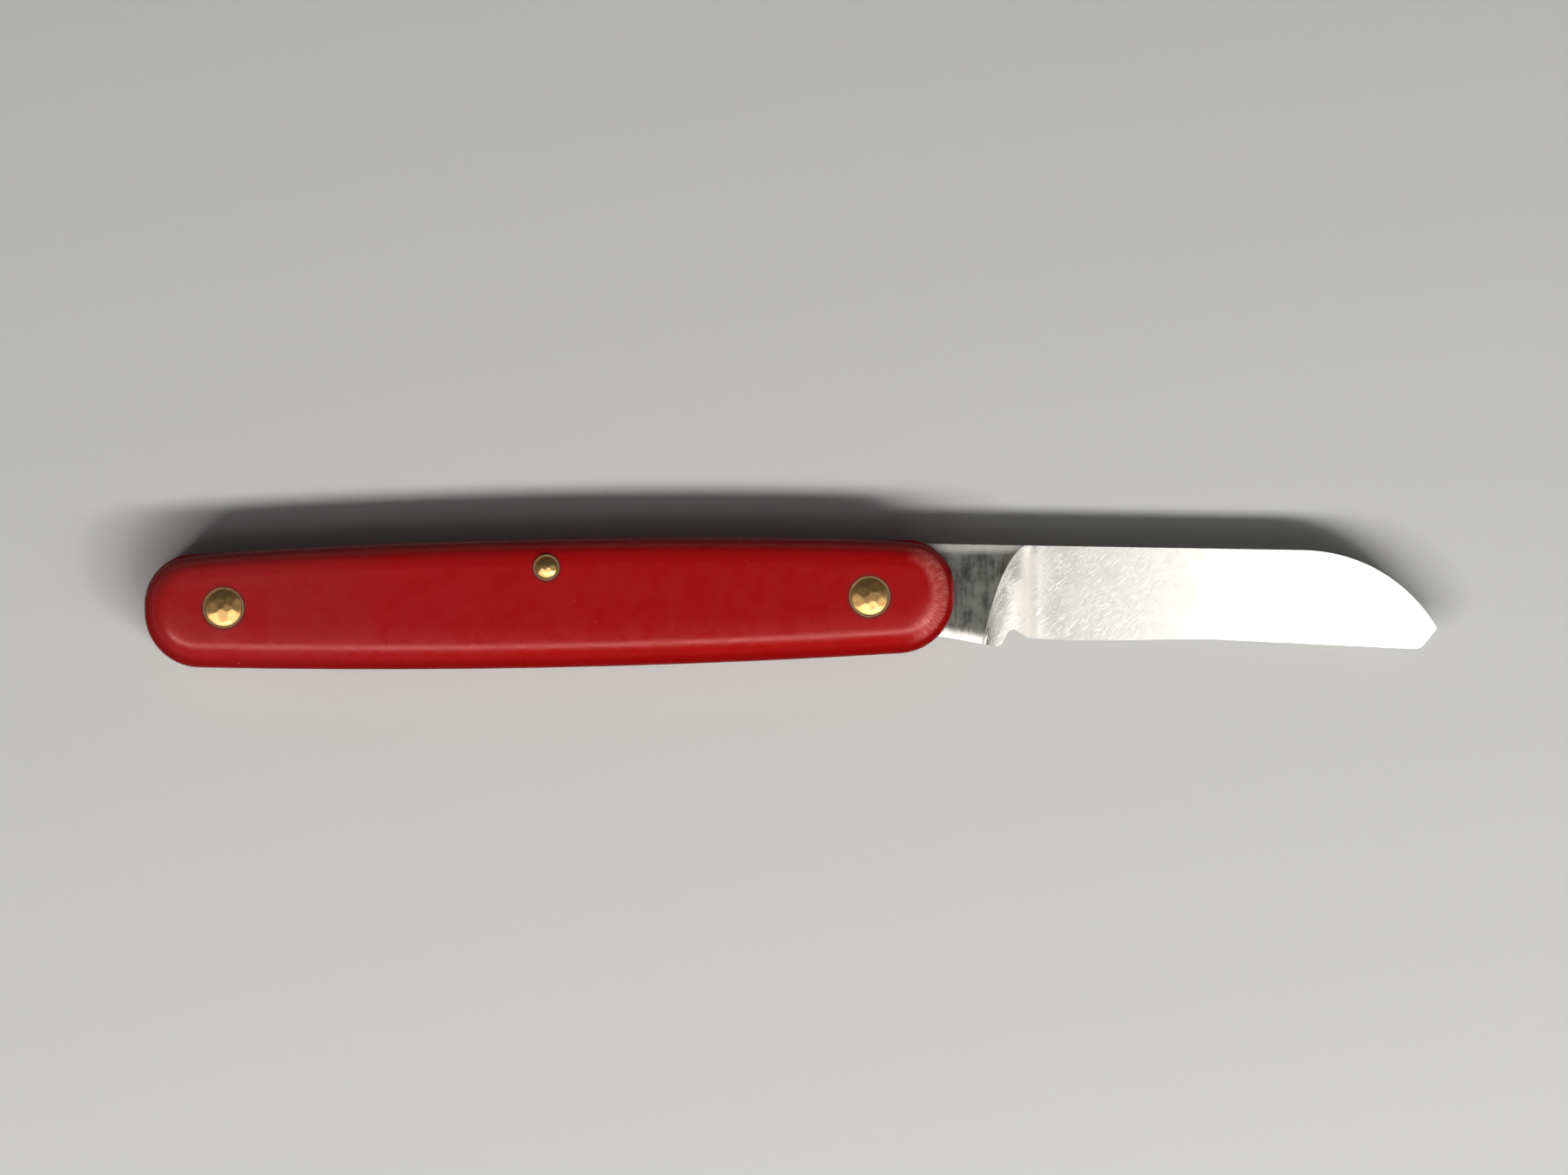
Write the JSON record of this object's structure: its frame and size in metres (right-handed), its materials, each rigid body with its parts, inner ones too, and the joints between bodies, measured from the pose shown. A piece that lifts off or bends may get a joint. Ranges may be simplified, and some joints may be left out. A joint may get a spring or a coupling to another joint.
{
  "type": "folding grafting knife",
  "caption": "Folding grafting knife with a single-bevel sheepfoot blade on a slip joint and a smooth, round-shouldered handle held by domed brass rivets.",
  "frame": {"origin": "on the blade's pivot axis, in the plane of the rear scale's flat outer face", "axes": "+X along the handle towards the open blade's point, +Y from the cutting edge to the back, +Z out of the front face; the knife lies open on its rear side"},
  "size_m": [0.1597, 0.016, 0.0116],
  "materials": {
    "red_nylon": "smooth moulded red nylon with a satin sheen, fine scratches and worn shoulders",
    "liner_brass": "rolled brass sheet with a dulled edge",
    "spring_steel": "ground spring steel, handled dull",
    "blade_steel": "ground carbon steel with a dark ricasso and diagonal honing scratches",
    "rivet_brass": "hand-peened brass, tarnished at the rim"
  },
  "bodies": {
    "handle": {"front_scale": "red_nylon", "rear_scale": "red_nylon", "front_liner": "liner_brass", "rear_liner": "liner_brass", "back_spring": "spring_steel", "pivot_rivet": "rivet_brass", "butt_rivet": "rivet_brass", "spring_rivet": "rivet_brass", "pivot_front_washer": "rivet_brass", "pivot_rear_washer": "rivet_brass", "butt_front_washer": "rivet_brass", "butt_rear_washer": "rivet_brass", "spring_front_washer": "rivet_brass", "spring_rear_washer": "rivet_brass"},
    "blade": {"blade": "blade_steel"}
  },
  "joints": [
    {"name": "blade_fold", "type": "hinge", "parent": "handle", "child": "blade", "pos_m": [0, 0, 0.00575], "axis": [0, 0, -1], "range_deg": [0, 174], "deforming": ["back_spring"]}
  ]
}
